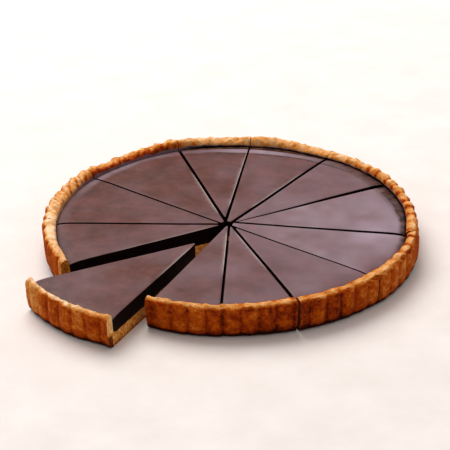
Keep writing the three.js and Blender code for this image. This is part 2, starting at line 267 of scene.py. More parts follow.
def flute(angle):
    """The lobe at an angle, and how far it bulges, from 0 in a valley to 1 on a crest: as sharp as
    the tin left it, and as soft as it is on the rim."""
    turn = in_flutes(angle)
    wave = np.sin(math.pi * turn)
    soft = VALLEY_SOFTNESS
    sharp_bulge = (np.sqrt(wave**2 + soft**2) - soft) / (math.sqrt(1 + soft**2) - soft)
    return np.floor(turn).astype(int) % FLUTES, sharp_bulge, wave**2


def wander(angle):
    """The rise of the case's rim at an angle, and its rim's, lip's and foot's width."""
    angles = [row[0] for row in AROUND]
    angles.append(angles[0] + 360)
    turn = angles[0] + (np.degrees(angle) - angles[0]) % 360
    position = np.interp(turn, angles, np.arange(len(angles)))
    start = np.minimum(np.floor(position).astype(int), len(AROUND) - 1)
    share = position - start
    share = share * share * (3 - 2 * share)
    ring = np.array(AROUND + AROUND[:1])[:, 1:]
    return [ring[start, i] * (1 - share) + ring[start + 1, i] * share for i in range(4)]


# Thumb-pressed ridges cross the rim aslant, a few degrees apart, at the back left. Small dimples lie
# on its outer edge, one to a flute. Both fade in and out: each angle in degrees with their strength.
RIDGES = (
    (0, 0), (96, 0.1), (112, 0.5), (146, 0.6), (152, 1.0), (172, 1.0), (181, 0), (360, 0),
)
RIDGE_SPACING = math.radians(3.5)
RIDGE_SLANT = math.radians(0.5)  # for each millimetre outwards
RIDGE_MIDDLE = 134
RIDGE_SWAY = 0.5  # of a spacing, in waves of a size round a smaller circle
RIDGE_WAVE = 1.7
RIDGE_WAVE_RADIUS = 30
RIDGE_COUNT = 200  # more than go round the case
RIDGE_RADIUS_SPAN = (128, 2)  # where they begin outwards, and upwards
RIDGE_HEIGHT_SPAN = (19, 4)
RIDGE_PUSH = 1.0  # how far a groove between two ridges widens the lip, and lowers the rim
RIDGE_DIP = 0.7
DIMPLES = (
    (0, 0.5), (25, 0.2), (90, 0.1), (200, 0.2), (250, 0.4), (290, 0.7), (312, 1.0), (345, 1.0),
    (360, 0.5),
)
DIMPLE_HALF_WIDTH = 0.42  # of a flute
DIMPLE_HALF_LENGTH = 3.0
DIMPLE_MIDDLE = 140.0  # a radius, measured on over the rim's rounded edge
DIMPLES_FROM = 134
DIMPLE_SLANT = 0.6
DIMPLE_STEEPNESS = 1.6
SHIFT_ASIDE = 0.1  # how far chance moves a dimple, in flutes, and outwards in millimetres
SHIFT_OUTWARD = 0.9
DIMPLE_PUSH = 1.0  # how far a dimple goes in, and down
DIMPLE_DIP = 0.6
EDGE_HEIGHT = 25.3
EDGE_FALL = 1.2
dimple_depths = lobe_random.uniform(0.45, 1, FLUTES)
dimple_places = lobe_random.uniform(-1, 1, (2, FLUTES))
ridge_depths = lobe_random.uniform(0.4, 1, RIDGE_COUNT)


def ridges(radius, height, angle):
    """How deep a point lies in a groove between two ridges, from 0 to 1."""
    round_case = np.stack((angle * RIDGE_WAVE_RADIUS, 0 * angle, 0 * angle), axis=-1)
    sway = RIDGE_SWAY * noise(round_case, size=RIDGE_WAVE, seed=6)[..., 0]
    phase = (angle + RIDGE_SLANT * (radius - RIDGE_MIDDLE)) / RIDGE_SPACING + sway
    depth = ridge_depths[np.round(phase).astype(int) % RIDGE_COUNT]
    groove = np.clip(np.cos(2 * math.pi * phase), 0, 1) ** 1.5 * depth
    groove = groove * by_angle(RIDGES, angle) * rising(radius, *RIDGE_RADIUS_SPAN)
    return groove * rising(height, *RIDGE_HEIGHT_SPAN)


def dimples(radius, height, angle):
    """How deep a point lies in a dimple of the rim's outer edge, from 0 to 1."""
    lobe, _, _ = flute(angle)
    aside, outward = SHIFT_ASIDE * dimple_places[0, lobe], SHIFT_OUTWARD * dimple_places[1, lobe]
    across = (in_flutes(angle) % 1 - 0.5 + aside) / DIMPLE_HALF_WIDTH
    over_edge = radius - EDGE_FALL * (height - EDGE_HEIGHT)
    along = (over_edge - DIMPLE_MIDDLE + outward - DIMPLE_SLANT * across) / DIMPLE_HALF_LENGTH
    hollow = np.clip(DIMPLE_STEEPNESS * (1 - across**2 - along**2), 0, 1)
    return hollow * dimple_depths[lobe] * by_angle(DIMPLES, angle) * (radius > DIMPLES_FROM)


def case_surface(section, angle):
    """The radius and height of the case's baked surface, at its section's rows and their angles."""
    radius, height, fluted, crown, wide, lip, foot = (column[:, None] for column in section.T)
    lobe, sharp, soft = flute(angle)
    bulge = soft + (sharp - soft) * rising(fluted, *SHARP_SPAN)
    rise, rim_width, lip_width, foot_width = wander(angle)
    pressed = FLUTE_DEPTH * (1 - bulge) - lobe_swells[lobe] * bulge
    lift = lobe_heights[lobe] * soft - VALLEY_DIP * (1 - soft) + rise
    groove = ridges(radius, height, angle)
    dimple = dimples(radius, height, angle)
    around = radius - fluted * pressed + wide * rim_width
    around = around + lip * (lip_width + RIDGE_PUSH * groove) + foot * foot_width - DIMPLE_PUSH * dimple
    up = height + crown * (lift - RIDGE_DIP * groove - DIMPLE_DIP * dimple)
    place = np.stack((around * np.cos(angle), around * np.sin(angle), up), axis=-1)
    lumps = sum(amount * noise(place, size, seed) for amount, size, seed in SKIN_LUMPS)
    rough = WALL_ROUGHNESS + (1 - WALL_ROUGHNESS) * rising(height, *ROUGH_SPAN)
    covered = np.clip(FILLED_RADIUS - radius, 0, 1) * np.clip(FILLED_HEIGHT - height, 0, 1)
    lumps *= (rough * np.clip(height / FOOT_BLEND, 0, 1) * (1 - covered))[..., None]
    upward = lumps[..., 2] * np.clip(crown + LUMPS_UPWARD, 0, 1)
    return around + LUMPS_OUTWARD * lumps[..., 0], np.maximum(up + upward, 0)


def sector(section, surface, faces, step):
    """A grid of points on a turned surface between two cut faces: rows of the section by columns. The
    surface wanders, so the angles where it meets the faces are found in a few rounds."""
    ends = []
    for face in faces:
        angle = face.angle_at(section[:, 0])
        for _ in range(3):
            radius, _ = surface(section, angle[:, None])
            angle = face.angle_at(radius[:, 0])
        ends.append(angle)
    turn = (ends[1] - ends[0] + math.pi) % (2 * math.pi) - math.pi
    columns = int(np.max(section[:, 0]) * turn.mean() / step) + 1
    angles = ends[0][:, None] + turn[:, None] * np.linspace(0, 1, columns)[None, :]
    radius, height = surface(section, angles)
    return np.stack((radius * np.cos(angles), radius * np.sin(angles), height), axis=-1)


def grid_faces(rows, columns):
    """The four-sided faces of a grid of points."""
    corner = (np.arange(rows - 1)[:, None] * columns + np.arange(columns - 1)[None, :]).ravel()
    return np.stack((corner, corner + 1, corner + columns + 1, corner + columns), axis=-1)


def spaced(start, end, step):
    """Points on a straight line, both ends included."""
    count = max(int(np.linalg.norm(np.subtract(end, start)) / step), 1)
    return np.linspace(start, end, count + 1)


def looped(*lines):
    """Lines joined end to end into a loop, each without its last point."""
    return np.concatenate([line[:-1] for line in lines])


def inside(points, loop):
    """Which flat points lie inside a loop, and how far each is from its edge."""
    crossed = np.zeros(len(points), dtype=int)
    nearest = np.full(len(points), np.inf)
    for (ax, ay), (bx, by) in zip(loop, np.roll(loop, -1, axis=0)):
        spans = (points[:, 1] > ay) != (points[:, 1] > by)
        with np.errstate(divide="ignore", invalid="ignore"):
            crossing = ax + (points[:, 1] - ay) * (bx - ax) / (by - ay)
        crossed += spans & (points[:, 0] < crossing)
        line = np.array((bx - ax, by - ay))
        share = np.clip(((points - (ax, ay)) @ line) / max(line @ line, 1e-12), 0, 1)
        away = points - (ax, ay) - share[:, None] * line
        nearest = np.minimum(nearest, np.linalg.norm(away, axis=1))
    return crossed % 2 == 1, nearest


def panel(loop, step, seed, edging=0.0):
    """Fills a flat loop with triangles, through points spaced by a step, and, where edging is given,
    through a row of points that far inside its edge; returns points and faces."""
    same_point, same_line = 1e-6, 1e-7
    shift, clear_of_edge, clear_of_row = 0.3, 0.55, 0.8
    loop = np.asarray(loop)
    loop = loop[np.linalg.norm(loop - np.roll(loop, 1, axis=0), axis=1) > same_point]
    centre = loop.mean(axis=0)
    normal = np.cross(loop - centre, np.roll(loop, -1, axis=0) - centre).sum(axis=0)
    normal /= np.linalg.norm(normal)
    upright = abs(normal[2]) < 0.9
    first = np.cross(normal, (0, 0, 1)) if upright else np.array((1.0, 0.0, 0.0))
    first /= np.linalg.norm(first)
    second = np.cross(normal, first)
    flat = np.stack(((loop - centre) @ first, (loop - centre) @ second), axis=-1)
    extra = np.zeros((0, 2))
    if step:
        low, high = flat.min(axis=0), flat.max(axis=0)
        lines = [np.arange(start, end, step) for start, end in zip(low, high)]
        grid = np.stack(np.meshgrid(*lines), -1).reshape(-1, 2)
        grid += np.random.default_rng(seed).uniform(-shift, shift, grid.shape) * step
        within, edge = inside(grid, flat)
        extra = grid[within & (edge > clear_of_edge * step + edging)]
    if edging:
        ahead = np.roll(flat, -1, axis=0) - np.roll(flat, 1, axis=0)
        ahead /= np.linalg.norm(ahead, axis=1)[:, None]
        row = flat + edging * np.stack((-ahead[:, 1], ahead[:, 0]), axis=-1)
        within, edge = inside(row, flat)
        extra = np.concatenate((extra, row[within & (edge > clear_of_row * edging)]))
    every = [Vector(point) for point in np.concatenate((flat, extra))]
    edges = [(i, (i + 1) % len(flat)) for i in range(len(flat))]
    found = delaunay_2d_cdt(every, edges, [], 1, same_line)
    points = np.concatenate((loop, centre + extra[:, :1] * first + extra[:, 1:] * second))
    source = [came[0] for came in found[3]]
    return points, [[source[i] for i in triangle] for triangle in found[2]]


def joined(parts):
    """Joins (points, faces, finish) parts at their shared points; returns the points, the faces and
    their finishes, and which point each part's own points became."""
    points = np.concatenate([part[0].reshape(-1, 3) for part in parts])
    _, first, back = np.unique(np.round(points, 5), axis=0, return_index=True, return_inverse=True)
    back = back.ravel()
    faces, finishes = [], []
    start = 0
    for part_points, part_faces, finish in parts:
        for face in part_faces:
            corners = [int(back[start + i]) for i in face]
            if len(set(corners)) == len(corners):
                faces.append(corners)
                finishes.append(finish)
        start += part_points.reshape(-1, 3).shape[0]
    return points[first], faces, finishes, back


SKIN, CUT = 0, 1  # which of a piece's two materials a face has


def slice_shell(cut_faces, grid, low, high, step, seed, roof, roof_finish):
    """A closed slice: a turned grid from the height high inside to the height low outside, with its
    two cut faces, floor, roof and blunt tip. roof is the step, seed and edging of its panel."""
    parts = [(grid, grid_faces(*grid.shape[:2]), SKIN)]
    tips = [(*face.start,) for face in cut_faces]
    lines = []
    for side in (0, 1):
        edge = grid[:, -side]
        bottom = spaced((*tips[side], low), edge[-1], step)
        top = spaced(edge[0], (*tips[side], high), step)
        upright = spaced((*tips[side], high), (*tips[side], low), step)
        lines.append((bottom, top, upright))
        loop = looped(bottom, edge[::-1], top, upright)
        parts.append((*panel(loop, step, seed + side), CUT))
    (bottom, top, upright), (far_bottom, far_top, far_upright) = lines
    across_low, across_high = (spaced((*tips[0], z), (*tips[1], z), step) for z in (low, high))
    floor_loop = looped(bottom, grid[-1], far_bottom[::-1], across_low[::-1])
    roof_loop = looped(top[::-1], grid[0], far_top, across_high[::-1])
    tip_loop = looped(across_low, far_upright[::-1], across_high[::-1], upright)
    parts.append((*panel(floor_loop, None, 0), SKIN))
    parts.append((*panel(roof_loop, *roof), roof_finish))
    parts.append((*panel(tip_loop, step, seed + 2), CUT))
    return parts


def new_piece(name, points, faces, finishes, materials):
    """A smooth-shaded mesh object, its faces turned outwards, with sharp edges where it was cut."""
    sharp_from = math.radians(48)
    mesh = bpy.data.meshes.new(name)
    mesh.from_pydata(points, [], faces)
    for material in materials:
        mesh.materials.append(material)
    mesh.polygons.foreach_set("material_index", finishes)
    build = bmesh.new()
    build.from_mesh(mesh)
    bmesh.ops.recalc_face_normals(build, faces=build.faces)
    build.to_mesh(mesh)
    build.free()
    mesh.shade_smooth()
    mesh.set_sharp_from_angle(angle=sharp_from)
    piece = bpy.data.objects.new(name, mesh)
    bpy.context.scene.collection.objects.link(piece)
    return piece


def mark(piece, **marks):
    """Gives each point of a piece its marks, which its materials read."""
    for name, values in marks.items():
        piece.data.attributes.new(name, "FLOAT", "POINT").data.foreach_set("value", values)


def colour(code):
    """An sRGB hex value as linear colour."""
    parts = [int(code[i : i + 2], 16) / 255 for i in (1, 3, 5)]
    return (*(c / 12.92 if c <= 0.04045 else ((c + 0.055) / 1.055) ** 2.4 for c in parts), 1.0)


def put(tree, kind, inputs=None, stops=(), **settings):
    """Adds a node with its settings, its links and, for a ramp, its (place, sRGB hex value) stops. An
    input is a value, a socket or a node, whose first output is then used."""
    node = tree.nodes.new(kind)
    for name, value in settings.items():
        setattr(node, name, value)
    for name, value in (inputs or {}).items():
        if isinstance(value, bpy.types.Node):
            value = value.outputs[0]
        if isinstance(value, bpy.types.NodeSocket):
            tree.links.new(value, node.inputs[name])
        else:
            node.inputs[name].default_value = value
    for _ in stops[2:]:
        node.color_ramp.elements.new(0.5)
    for stop, (place, code) in enumerate(stops):
        node.color_ramp.elements[stop].position = place
        node.color_ramp.elements[stop].color = colour(code)
    return node


def begin_material(name):
    """A material, its emptied node tree, and the piece's own coordinates, which patterns lie on."""
    material = bpy.data.materials.new(name)
    material.use_nodes = True
    tree = material.node_tree
    tree.nodes.clear()
    return material, tree, put(tree, "ShaderNodeTexCoord").outputs["Object"]


def mottled(tree, place, tone, *patterns):
    """Adds spots to a tone: each pattern has their real size, and their contrast about its middle."""
    for pattern in patterns:
        size, contrast = pattern
        spots = put(tree, "ShaderNodeTexNoise", {
            "Vector": place, "Scale": 1 / size, "Detail": 3.0, "Roughness": 0.6,
        })
        centred = {0: spots, 1: contrast, 2: -contrast / 2}
        spots = put(tree, "ShaderNodeMath", centred, operation="MULTIPLY_ADD")
        last = pattern is patterns[-1]
        tone = put(tree, "ShaderNodeMath", {0: tone, 1: spots}, operation="ADD", use_clamp=last)
    return tone


def end_material(tree, place, base, grain, relief, gloss):
    """Gives a material its colour over a fine grain, which is its relief, and its gloss. The last
    three hold the inputs of their own nodes."""
    height = put(tree, "ShaderNodeTexNoise", {"Vector": place, **grain})
    normal = put(tree, "ShaderNodeBump", {"Height": height, **relief})
    shader = put(tree, "ShaderNodeBsdfPrincipled", {"Base Color": base, "Normal": normal, **gloss})
    put(tree, "ShaderNodeOutputMaterial", {"Surface": shader})


# Baked shortcrust: its butter and sugar brown in the oven, most where metal touched it, in mottled
# patches a few millimetres across, over a fine sandy grain that keeps it matt. Its brown also holds
# painted shade and painted light. In a band low inside its wall it is nearly black, and mauve-grey
# where that band is weaker.
PATCH_SIZE = 5.0 * MM
PATCH_CONTRAST = 0.25
FLECK_SIZE = 1.5 * MM
FLECK_CONTRAST = 0.5
GRAIN_SIZE = 0.9 * MM
GRAIN_DEPTH = 0.4 * MM
baked, tree, place = begin_material("baked_shortcrust")
bake = put(tree, "ShaderNodeAttribute", attribute_name="bake").outputs["Fac"]
stain = put(tree, "ShaderNodeAttribute", attribute_name="stain").outputs["Fac"]
browned = mottled(tree, place, bake, (PATCH_SIZE, PATCH_CONTRAST), (FLECK_SIZE, FLECK_CONTRAST))
baked_colour = put(tree, "ShaderNodeValToRGB", {0: browned}, (
    (0.0, "#f6d2ac"), (0.2, "#e3aa6f"), (0.4, "#d18a41"), (0.6, "#b45205"), (0.8, "#8a2c00"),
    (1.0, "#2c0a01"),
))
# Nearly black in the band low inside the wall, and mauve-grey where it is weaker
film = put(tree, "ShaderNodeMath", {0: stain, 1: 2.0}, operation="MULTIPLY", use_clamp=True)
film_colour = put(tree, "ShaderNodeValToRGB", {0: stain}, ((0.5, "#7c6873"), (0.85, "#140806")))
stained = put(tree, "ShaderNodeMix", {0: film, 6: baked_colour, 7: film_colour}, data_type="RGBA")
end_material(
    tree, place, stained.outputs[2], {"Scale": 1 / GRAIN_SIZE, "Detail": 4.0, "Roughness": 0.7},
    {"Distance": GRAIN_DEPTH, "Strength": 1.0},
    {"Roughness": 0.75, "IOR": 1.45, "Specular IOR Level": 0.06},
)

# Cut shortcrust: the crumb inside the case is sandy, with small open pores, golden in the thin
# upright wall and browner in the base, where fat and chocolate have soaked in.
SOAKED_SIZE = 2.6 * MM
SOAKED_CONTRAST = 1.3
PORE_SIZE = 0.8 * MM
PORE_DEPTH = 0.35 * MM
crumb, tree, place = begin_material("cut_shortcrust_crumb")
toast = put(tree, "ShaderNodeAttribute", attribute_name="toast").outputs["Fac"]
toasted = mottled(tree, place, toast, (SOAKED_SIZE, SOAKED_CONTRAST))
crumb_colour = put(tree, "ShaderNodeValToRGB", {0: toasted}, (
    (0.0, "#f4cc90"), (0.25, "#dc9844"), (0.5, "#bc6f1a"), (0.75, "#803a08"), (1.0, "#3a1003"),
))
end_material(
    tree, place, crumb_colour, {"Scale": 1 / PORE_SIZE, "Detail": 4.0, "Roughness": 0.75},
    {"Distance": PORE_DEPTH, "Strength": 1.0},
    {"Roughness": 0.85, "IOR": 1.45, "Specular IOR Level": 0.15},
)

# How brown the skin is drawn by angle, each on top of what the whole rim or wall has: painted shade in
# the grooves between the rim's lobes and on the rim's inner side, where they face away from the light;
# on its top, partly the oven's browning and partly painted light and shade; and on the wall, painted
# light and shade, paler on its sides where more light falls
POCKET_TONES = (
    (0, 1.2), (30, 0.9), (60, 0.4), (140, 0.2), (250, 0.1), (330, 0.7), (345, 1.2), (360, 1.3),
)
INNER_TONES = (
    (0, 0.3), (35, 0.26), (78, 0.06), (98, 0.08), (108, 0.4), (120, 0.58), (144, 0.58), (154, 0.2),
    (200, 0), (360, 0.3),
)
TOP_TONES = (
    (0, 0.14), (30, 0.12), (50, 0.08), (66, 0.12), (90, 0.12), (100, 0.04), (112, 0.12),
    (142, 0.12), (152, 0), (160, 0.06), (170, 0.05), (180, -0.02), (194, -0.02), (204, 0.2),
    (212, 0.03), (230, 0.02), (243, 0.22), (262, 0.26), (300, 0.26), (322, 0.18), (340, 0.12),
    (360, 0.14),
)
WALL_TONES = (
    (0, -0.08), (180, -0.06), (200, 0), (208, -0.2), (217, -0.18), (224, 0.04), (229, 0),
    (235, -0.09), (241, -0.04), (246, 0), (262, 0.02), (282, 0.06), (300, 0.02), (320, -0.03),
    (332, -0.1), (345, -0.14), (360, -0.08),
)
RIM_TONE = 0.06
WALL_TONE = 0.62
UNDERSIDE_TONE = 0.6
WALL_FADE = 1.8  # how far below its crest the rim's outside has turned to the wall's brown
DENTED_FADE = 0.6  # and how much later it does so among the dimples
INNER_SPAN = (-0.2, 1.1)  # the same on its inner side
FADE_WAVER = 0.5
FOOT_TONE = 0.4  # browner towards the foot, up to this height: partly browning, partly painted shade
FOOT_HEIGHT = 8
CORNER_TONE = 0.65  # and nearly black at the very foot: partly a darker baked edge, partly painted shade where the wall meets the table
CORNER_HEIGHT = 3.0
CORNER_EXCESS = 1.3
# Painted shade in the valleys between the wall's flutes, and a tone that differs at random from lobe to
# lobe
VALLEY_TONE = 0.12
LOBE_TONE = 0.18
# Painted shade in the grooves between the rim's lobes, stronger on some lobes by chance
POCKET_TONE = 0.4
POCKET_LEAST = 0.25  # the share that each groove between lobes has, and what chance adds
POCKET_SPREAD = 1.2
DENT_TONE = 0.4  # painted shade in the grooves between ridges and in dimples
BLOTCH_TONE = 0.06
FRECKLE_TONE = 0.12
lobe_tones = lobe_random.uniform(0, 1, FLUTES)
# How dark a band low inside the wall is drawn, by angle, and up to what height
STAIN = (
    (0, 1.0), (98, 1.0), (110, 0.5), (150, 0.45), (162, 0.15), (215, 0.1), (325, 0.2), (345, 1.0),
    (360, 1.0),
)
STAIN_TOP = ((0, 23.3), (40, 22.6), (82, 22.5), (96, 23.3), (360, 23.3))
STAIN_FADE = 0.7
STAIN_WAVER = 0.5


def rows_of_bake(section, grid):
    """How brown the case is drawn, from 0 for pale to 1: by its height, its flutes and chance, with
    painted shade in its hollows, on its inner rim and at its foot, and painted light and shade by
    angle.
    """
    radius, height = section[:, 0][:, None], section[:, 1][:, None]
    angle = np.arctan2(grid[..., 1], grid[..., 0])
    lobe, sharp, soft = flute(angle)
    rows = np.arange(len(section))[:, None]
    crest = int(np.argmax(section[:, 1]))
    below = section[crest, 1] - height + FADE_WAVER * noise(grid, size=2.6, seed=14)[..., 0]
    later = DENTED_FADE * by_angle(DIMPLES, angle)
    outer = rising(below, later, WALL_FADE + later) * (rows > crest)
    inner = rising(below, *INNER_SPAN) * (rows <= crest)
    amount = RIM_TONE + by_angle(TOP_TONES, angle) * (1 - outer) + by_angle(INNER_TONES, angle) * inner
    amount += (WALL_TONE + by_angle(WALL_TONES, angle)) * outer
    amount += FOOT_TONE * np.clip(1 - height / FOOT_HEIGHT, 0, 1) ** 1.5
    amount += CORNER_TONE * np.clip(CORNER_EXCESS - height / CORNER_HEIGHT, 0, 1)
    amount += outer * (VALLEY_TONE * (1 - sharp) ** 3 + LOBE_TONE * (lobe_tones[lobe] - 0.5))
    pocket = by_angle(POCKET_TONES, angle) * (POCKET_LEAST + POCKET_SPREAD * lobe_tones[lobe])
    amount += POCKET_TONE * pocket * (1 - soft) ** 2 * (height > FILLED_HEIGHT) * (1 - outer)
    dents = ridges(radius, height, angle) + dimples(radius, height, angle)
    blotches = BLOTCH_TONE * noise(grid, size=9.0, seed=11)[..., 0]
    freckles = FRECKLE_TONE * noise(grid, size=2.6, seed=12)[..., 0]
    return amount + DENT_TONE * dents + blotches + freckles


def rows_of_stain(section, grid):
    """How dark the case is drawn in a band low inside its wall, most at the back right."""
    height = section[:, 1][:, None]
    inside_wall = np.arange(len(section))[:, None] < int(np.argmax(section[:, 1]))
    angle = np.arctan2(grid[..., 1], grid[..., 0])
    top = by_angle(STAIN_TOP, angle) + STAIN_WAVER * noise(grid, size=4.0, seed=13)[..., 2]
    return rising(top, height, STAIN_FADE) * inside_wall * by_angle(STAIN, angle)


# The opened crumb: how far it lies in, the size of its crumbs, and the seed
CRUMBS = ((0.3, 1.7, 21), (0.22, 4.5, 22))
CRUMBLED_IN = 0.25
AT_HEIGHT = 0.05  # points this near a height count as at it
# How brown it is, from 0 for pale to 1
CRUMB_TONE = 0.4
CRUMB_FOOT_TONE = 0.4  # more than that at the very foot
CRUMB_FOOT_HEIGHT = 3
CENTRE_TONE = -0.15  # in the middle of the base, which browns outwards
BROWNING = 0.55
BROWNING_SPAN = (60, 40)
WALL_SPAN = (129.5, 1.5)  # where the upright wall begins
BEHIND_GAP_WALL_TONE = -0.34
DRAWN_BASE_TONE = -0.12
DRAWN_WALL_TONE = 0.5  # at its foot, and this much paler higher up
DRAWN_WALL_PALER = 0.78
PALER_SPAN = (8, 4)
BASE_TOP_TONE = 1.3  # the base's own top, which the filling has darkened
# How far the second slice's crust broke past its cut, and where: outwards, and inside its face
SPARE_CRUST = 3.2
SPARE_SPAN = (122.0, 4)
SPARE_WIDTH = 14


def crumble(face, points, index):
    """Moves some points of a cut face inwards, as the blade left the crumb."""
    height = points[index, 2]
    index = index[(height > AT_HEIGHT) & (height < BASE_THICKNESS - AT_HEIGHT)]
    crumbled = sum(amount * noise(points[index], size, seed)[:, 0] for amount, size, seed in CRUMBS)
    points[index, :2] += np.minimum(crumbled - CRUMBLED_IN, 0)[:, None] * face.outward


def toast_at(number, points, on_skin):
    """How brown a slice's crumb is, from 0 for pale to 1: by its height and how near the wall it is."""
    radius, height = np.hypot(points[:, 0], points[:, 1]), points[:, 2]
    wall = rising(radius, *WALL_SPAN)
    toast = CRUMB_TONE + CRUMB_FOOT_TONE * np.clip(1 - height / CRUMB_FOOT_HEIGHT, 0, 1)
    if number == DRAWN:
        wall_tone = DRAWN_WALL_TONE - DRAWN_WALL_PALER * rising(height, *PALER_SPAN)
        toast += wall * wall_tone + DRAWN_BASE_TONE * (1 - wall)
    else:
        toast += BROWNING * rising(radius, *BROWNING_SPAN) + CENTRE_TONE
    if number == BEHIND_GAP:
        toast += BEHIND_GAP_WALL_TONE * wall
    at_top = (height > BASE_THICKNESS - AT_HEIGHT) & (height < BASE_THICKNESS + AT_HEIGHT)
    toast[~on_skin & at_top] = BASE_TOP_TONE
    return toast


def make_crust(piece):
    """A slice's piece of the case, crumbly on its cut sides."""
    grid = sector(case_section, case_surface, piece.crust_faces, CASE_STEP)
    seed, roof = 10 * piece.number, (None, 0, 0.0)
    parts = slice_shell(piece.crust_faces, grid, 0.0, BASE_THICKNESS, FACE_STEP, seed, roof, CUT)
    points, faces, finishes, back = joined(parts)
    start = grid.shape[0] * grid.shape[1]
    skin = back[:start]
    on_skin = np.zeros(len(points), dtype=bool)
    on_skin[skin] = True
    bake = np.full(len(points), UNDERSIDE_TONE)
    bake[skin] = rows_of_bake(case_section, grid).ravel()
    stain = np.zeros(len(points))
    stain[skin] = rows_of_stain(case_section, grid).ravel()
    for face, part in zip(piece.crust_faces, parts[1:3]):
        end = start + len(part[0])
        index = np.unique(back[start:end])
        crumble(face, points, index[~on_skin[index]])
        start = end
    toast = toast_at(piece.number, points, on_skin)
    if piece.number == BEFORE_GAP:
        face = piece.crust_faces[0]
        radius = np.hypot(points[:, 0], points[:, 1])
        beyond = rising(radius, *SPARE_SPAN) * np.clip(1 - face.depth_of(points) / SPARE_WIDTH, 0, 1)
        points[:, :2] += (SPARE_CRUST * beyond)[:, None] * face.outward
    name = f"crust_{piece.number:02d}"
    crust = new_piece(f"{name}_baked", piece.placed(points), faces, finishes, (baked, crumb))
    mark(crust, bake=bake, stain=stain, toast=toast)
    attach(crust, "root")
    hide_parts(name)


case_section = smooth_section(CASE_SECTION, CASE_STEP)
for piece in slices:
    make_crust(piece)


# ------------------------------
# The ganache: dark chocolate and cream, poured warm to fill the case and set in the cold. It creeps
# a little up the crust, its top has dulled to a mauve-brown bloom, and the knife leaves it dark and
# smooth on the cut faces.
GANACHE_LEVEL = 22.4
GANACHE_STEP = 1.1
GANACHE_SECTION_STEP = 0.7
GANACHE_TOP_STEP = 1.8
GANACHE_EDGING = 0.7  # a row of points this far inside the top's edge
SEAM = 0.06  # the hair's breadth between the filling and the case
TOP_DEPTH = 1.6  # points no further than this below the level belong to the top
BLADE_DIP = 0.25  # how far the blade dragged the top's edge down, and how wide
BLADE_DIP_WIDTH = 0.8
# The set surface's slow rise and fall: how far, over what size, and the seed
SWELLS = ((0.16, 38.0, 31), (0.07, 13.0, 32))
# The filling's section, from its level top out to the case and down its side: radius, height, how
# strongly the flutes show, and its share of the lip's width
GANACHE_SECTION = np.array((
    (108.0, 22.4, 0, 1.0), (119.5, 22.4, 0, 1.0), (123.5, 22.25, 0, 1.0),
    (127.0, 21.9, 0, 1.0), (129.3, 21.4, 0.04, 0.98), (130.35, 20.9, 0.06, 0.97),
    (130.25, 19.0, 0.06, 0.93), (129.9, 13.1, 0.03, 0.8), (128.7, 10.7, 0, 0.6),
    (125.9, 10.26, 0, 0.4),
))


def ganache_swell(points):
    """How far the set surface rises or falls at its points."""
    flat = np.array(points)
    flat[..., 2] = 0
    return sum(amount * noise(flat, size, seed)[..., 2] for amount, size, seed in SWELLS)


def ganache_surface(section, angle):
    """The radius and height of the filling's surface, at its section's rows and their angles."""
    radius, height, fluted, lip = (column[:, None] for column in section.T)
    _, _, soft = flute(angle)
    _, _, lip_width, _ = wander(angle)
    return radius - fluted * FLUTE_DEPTH * (1 - soft) + lip * lip_width, height + 0 * angle


# Set ganache: as it cools, cocoa butter rises to its top and dulls it, in soft clouds a few
# centimetres across with finer streaks, over faint ripples that break up its low gloss. Over that
# bloom lie a painted sheen of reflected light, painted shade, and pale painted highlights along one
# side of some cuts.
CLOUDY = {"Detail": 4.0, "Roughness": 0.6}  # soft noise, with finer and fainter noise in it
CLOUD_SIZE = 22.0 * MM
CLOUD_SHARE = 0.6
STREAK_SIZE = 6.0 * MM
RIPPLE_SIZE = 3.0 * MM
RIPPLE_DEPTH = 0.12 * MM
ganache_skin, tree, place = begin_material("set_ganache_top")
bloom, shade, burr = (
    put(tree, "ShaderNodeAttribute", attribute_name=name).outputs["Fac"]
    for name in ("bloom", "shade", "burr")
)
clouds = put(tree, "ShaderNodeTexNoise", {"Vector": place, "Scale": 1 / CLOUD_SIZE, **CLOUDY})
clouds = put(tree, "ShaderNodeMath", {0: clouds, 1: CLOUD_SHARE}, operation="MULTIPLY")
streaks = put(tree, "ShaderNodeTexNoise", {"Vector": place, "Scale": 1 / STREAK_SIZE, **CLOUDY})
fainter = put(tree, "ShaderNodeMath", {0: streaks, 1: 1 - CLOUD_SHARE}, operation="MULTIPLY")
mottle = put(tree, "ShaderNodeMath", {0: clouds, 1: fainter}, operation="ADD")
tone = put(tree, "ShaderNodeValToRGB", {0: mottle}, (
    (0.34, "#431f19"), (0.5, "#552a22"), (0.66, "#653633"),
))
# The colour of the painted shade, in dark brown streaks
sunk = put(tree, "ShaderNodeValToRGB", {0: streaks}, ((0.42, "#24120e"), (0.62, "#52301f")))
# Over the mottle: the bloom with its painted sheen, then the painted shade, then the painted edge
# highlights
for amount, over in ((bloom, colour("#a18f9e")), (shade, sunk), (burr, colour("#d9ccca"))):
    tone = put(tree, "ShaderNodeMix", {0: amount, 6: tone, 7: over}, data_type="RGBA").outputs[2]
end_material(
    tree, place, tone, {"Scale": 1 / RIPPLE_SIZE, "Detail": 3.0, "Roughness": 0.55},
    {"Distance": RIPPLE_DEPTH, "Strength": 0.35},
    {"Roughness": 0.4, "IOR": 1.46, "Specular IOR Level": 0.1},
)

# Knife-cut ganache: denser and darker than its bloomed top, nearly black, and almost matt from the
# fine drag of the blade.
FAT_SIZE = 2.0 * MM
DRAG_SIZE = 1.6 * MM
DRAG_DEPTH = 0.15 * MM
ganache_cut, tree, place = begin_material("knife_cut_ganache")
fat = put(tree, "ShaderNodeTexNoise", {"Vector": place, "Scale": 1 / FAT_SIZE, **CLOUDY})
cut_colour = put(tree, "ShaderNodeValToRGB", {0: fat}, (
    (0.3, "#0a0202"), (0.6, "#120403"), (0.75, "#200a05"),
))
end_material(
    tree, place, cut_colour, {"Scale": 1 / DRAG_SIZE, "Detail": 3.0, "Roughness": 0.6},
    {"Distance": DRAG_DEPTH, "Strength": 0.5},
    {"Roughness": 0.6, "IOR": 1.46, "Specular IOR Level": 0.05},
)
